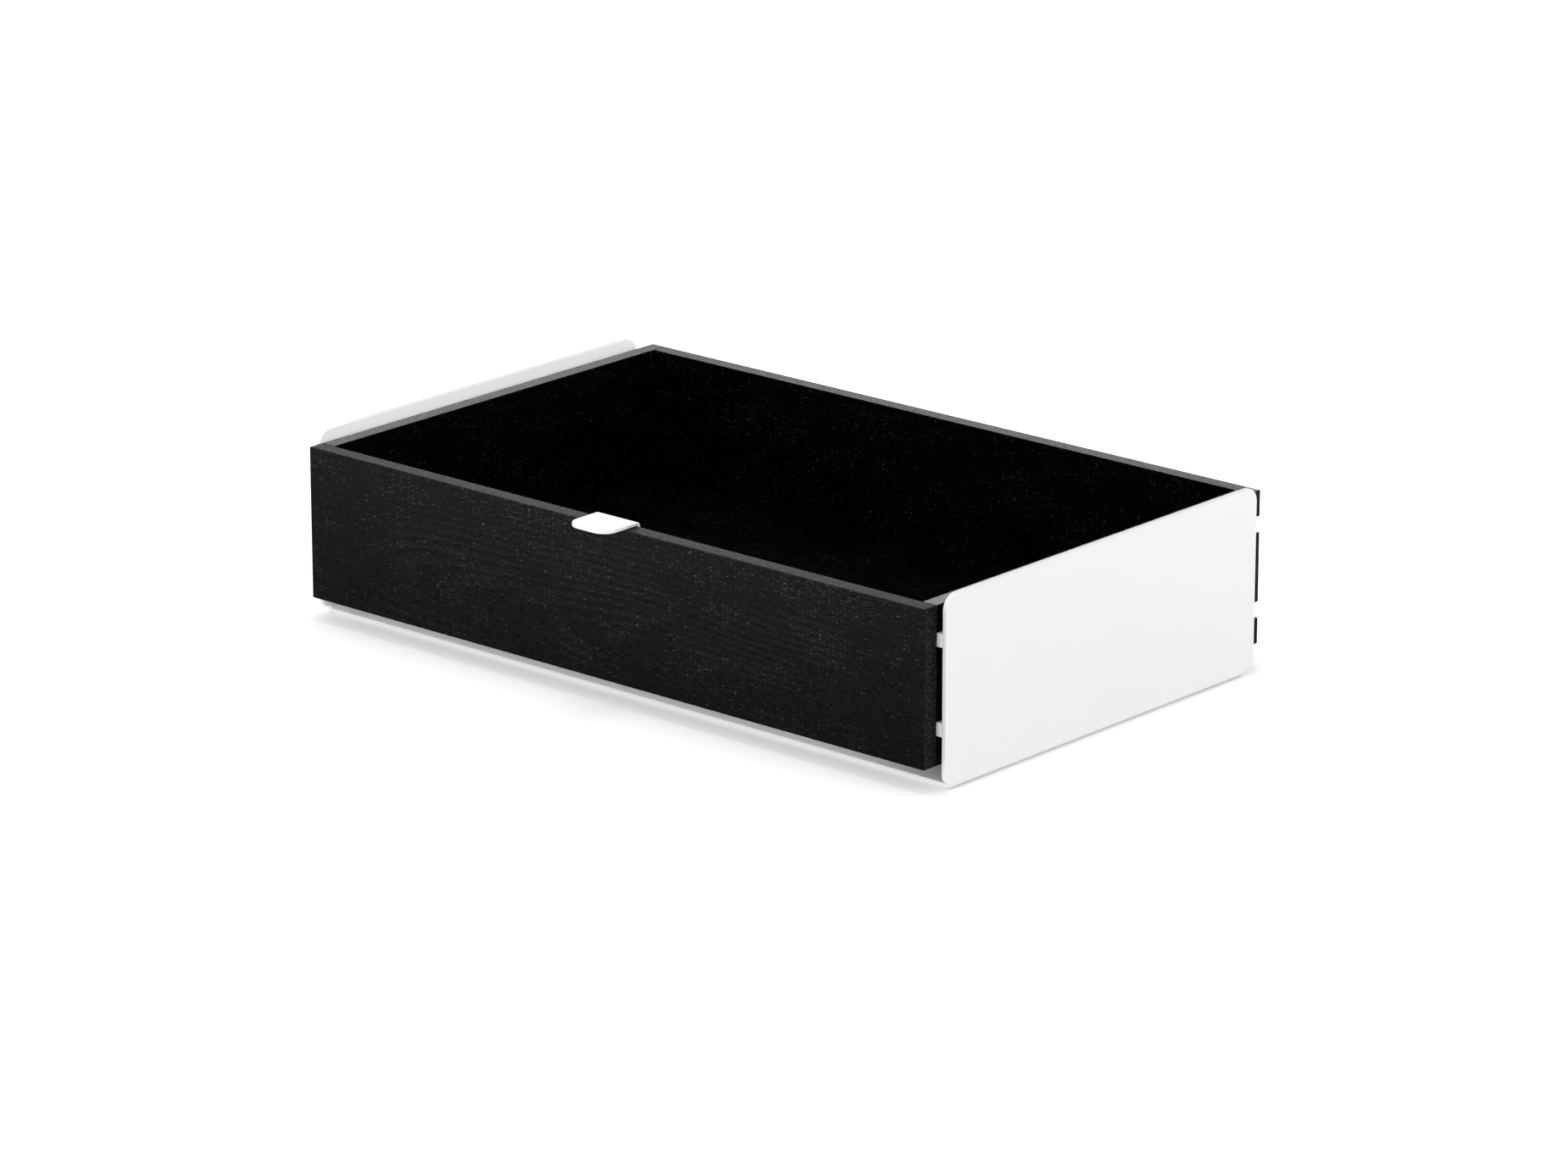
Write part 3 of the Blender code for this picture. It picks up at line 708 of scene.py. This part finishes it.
def make_pull():
    """The folded tab. Its flat pattern has u from the lip's front to the flange's foot."""
    low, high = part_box("pull_tab")
    outside = PULL_BEND_INSIDE + PULL_SHEET
    length = bend_length(PULL_SHEET, PULL_BEND_INSIDE)
    lip = high.y - outside - low.y
    drop = high.z - outside - low.z
    half = (high.x - low.x) / 2
    end = lip + length + drop
    outline = (arc(PULL_FRONT_ROUND, half - PULL_FRONT_ROUND, PULL_FRONT_ROUND, 90, 180, 12)
               + arc(PULL_FRONT_ROUND, PULL_FRONT_ROUND - half, PULL_FRONT_ROUND, 180, 270, 12)
               + arc(end - PULL_FLANGE_ROUND, PULL_FLANGE_ROUND - half, PULL_FLANGE_ROUND,
                     270, 360, 6)
               + arc(end - PULL_FLANGE_ROUND, half - PULL_FLANGE_ROUND, PULL_FLANGE_ROUND,
                     0, 90, 6))
    holes = []
    for node in ("pull_screw_left", "pull_screw_right"):
        screw_low, screw_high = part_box(node)
        centre = (screw_low + screw_high) / 2
        u = end - (centre.z - low.z)
        # The fold's outside, w = 0, is the flange's back, where the screw's head sits.
        profile = [(SHANK_RADIUS + FIT, PULL_SHEET), (SHANK_RADIUS + FIT, HEAD_DEPTH),
                   (HEAD_RADIUS + 0.15 * MM, 0.0)]
        holes.append(hole(u, centre.x, profile))
    bm = plate([rounded_rim(outline, PULL_SHEET, PULL_EDGE)] + holes)
    fold(bm, lip, PULL_SHEET, PULL_BEND_INSIDE)
    # u, v and w become +Y, +X and -Z, so that the flange hangs.
    bm.transform(Matrix(((0, 1, 0, 0), (1, 0, 0, low.y), (0, 0, -1, high.z), (0, 0, 0, 1))))
    turn_outwards(bm)
    piece(settle(add_object("finger_pull", bm)), "drawer", ["pull_tab"], COAT)


def finish_hidden_parts():
    """The dowels and studs keep their CAD shape."""
    for name, node in NODES.items():
        for start, material, slot in (("dowel", BEECH, "beech"),
                                      ("rail_stud", ZINC, "zinc_plated_steel")):
            if name.startswith(start):
                node.data.materials.clear()
                node.data.materials.append(material)


# ---------------------------------------------------------------- stage

FLOOR_HALF_WIDTH = 12
FLOOR_GAP = 0.02 * MM
CONTACT_SHADE_REACH = 0.008
GLOW_FROM_TO = (0.17, 0.55)         # distances from the object's middle
GLOW = (0.475, 1.7)
STUDIO_LEVEL = 0.955
STUDIO_SLOPE = (0.10, -0.20, 0.0)

# The photograph's viewing angle
CAMERA_PLACE = (2.4155, -2.7381, 1.1992)
CAMERA_TURN = (72.315, 0, 41.3)
LENS = 155.69

# The power of the light behind the box on each board's upper edge
RIM_POWERS = {"front": 2.0, "back": 3.6, "left": 4.2, "right": 8.0}


def make_floor():
    """A white floor with a glow of its own, brighter away from the object: the glow is painted
    light, and its dimming near the object and the contact shade from an occlusion test are painted
    shade.
    """
    bm = bmesh.new()
    bmesh.ops.create_grid(bm, x_segments=1, y_segments=1, size=FLOOR_HALF_WIDTH)
    floor = add_object("floor", bm, Matrix.Translation((0, 0, -FLOOR_GAP)))
    s = Shader("floor")
    occlusion = s.add("ShaderNodeAmbientOcclusion", {"Distance": CONTACT_SHADE_REACH}, samples=8)
    # Painted contact shade: the floor's colour and glow darken where the occlusion test finds the
    # object close.
    shade = s.remap(occlusion.outputs["AO"], 0.1, 0.6, 0.5, 1.0)
    flat = s.mapping(s.coords(), scale=(0.6, 1, 1))
    away = s.add("ShaderNodeVectorMath", {0: flat}, operation="LENGTH").outputs["Value"]
    # The glow is painted light, dimmer near the object as a painted shade round it.
    glow = s.remap(away, *GLOW_FROM_TO, *GLOW, smooth=True)
    s.set(base_color=s.mix(shade, (0, 0, 0), (0.55, 0.55, 0.55)), roughness=0.9,
          specular_ior_level=0.0, emission_color=(1, 1, 1, 1),
          emission_strength=s.math("MULTIPLY", glow, shade))
    floor.data.materials.append(s.material)
    floor.visible_diffuse = False


def make_world():
    """An even white studio, a little brighter to the front and right."""
    world = bpy.data.worlds.new("studio")
    bpy.context.scene.world = world
    world.use_nodes = True
    tree = world.node_tree
    direction = tree.nodes.new("ShaderNodeTexCoord")
    dot = tree.nodes.new("ShaderNodeVectorMath")
    dot.operation = "DOT_PRODUCT"
    dot.inputs[1].default_value = STUDIO_SLOPE
    tree.links.new(direction.outputs["Generated"], dot.inputs[0])
    level = tree.nodes.new("ShaderNodeMath")
    level.operation = "MULTIPLY_ADD"
    tree.links.new(dot.outputs["Value"], level.inputs[0])
    level.inputs[1].default_value = 1.0
    level.inputs[2].default_value = STUDIO_LEVEL
    background = tree.nodes["Background"]
    background.inputs["Color"].default_value = (1, 1, 1, 1)
    tree.links.new(level.outputs[0], background.inputs["Strength"])


def make_light(name, location, target, size, power, lit, shading=None, spread=180):
    """An area light for the objects whose names start with lit, shaded by those in shading."""
    light = bpy.data.lights.new(name, "AREA")
    light.shape = "RECTANGLE"
    light.size, light.size_y = size
    light.energy = power
    light.spread = math.radians(spread)
    obj = bpy.data.objects.new(name, light)
    obj.location = location
    obj.rotation_mode = "QUATERNION"
    away = Vector(location) - Vector(target)
    obj.rotation_quaternion = away.to_track_quat("Z", "Y")
    obj.visible_camera = False
    bpy.context.scene.collection.objects.link(obj)
    for use, names in (("receiver", lit), ("blocker", shading)):
        if names:
            group = bpy.data.collections.new(f"{name}_{use}")
            for other in bpy.context.scene.objects:
                if other.type == "MESH" and other.name.startswith(names):
                    group.objects.link(other)
            setattr(obj.light_linking, f"{use}_collection", group)


def make_camera():
    camera = bpy.data.cameras.new("camera")
    camera.sensor_width = 36.0
    camera.lens = LENS
    camera.clip_start, camera.clip_end = 0.1, 60
    obj = bpy.data.objects.new("camera", camera)
    obj.location = CAMERA_PLACE
    obj.rotation_euler = [math.radians(a) for a in CAMERA_TURN]
    bpy.context.scene.collection.objects.link(obj)
    bpy.context.scene.camera = obj


def light_stage():
    """A soft light from above, and small ones that match each surface to the photo."""
    make_light("overhead", (0, 0, 3), (0, 0, 0), (1.06, 1.06), 32, ("floor", "finger_pull"))
    make_light("plate_light", (-0.02, -0.15, 0.5), (-0.02, -0.15, 0), (0.46, 0.02), 0.084,
               ("bracket",), ("bracket",), spread=20)
    make_light("wall_light", (0.2, 0.02, 0.118), (-0.2, 0.02, 0.110), (0.42, 0.02), 0.06,
               ("bracket",), ("bracket",), spread=30)
    for board_name, power in RIM_POWERS.items():
        make_light(f"rim_light_{board_name}", (-0.60, 0.75, 0.42), (0, 0.05, 0.1), (0.9, 0.3),
                   power, (f"oak_{board_name}",), ("oak",))
    make_light("front_light", (0, -0.22, 0.19), (0, -0.145, 0.06), (0.5, 0.03), 2.2,
               ("oak_front",), ("oak_front",))


make_bracket()
make_rails()
make_screws()
make_box()
make_pull()
finish_hidden_parts()
make_floor()
make_world()
light_stage()
make_camera()
bpy.context.scene.view_settings.view_transform = "Standard"
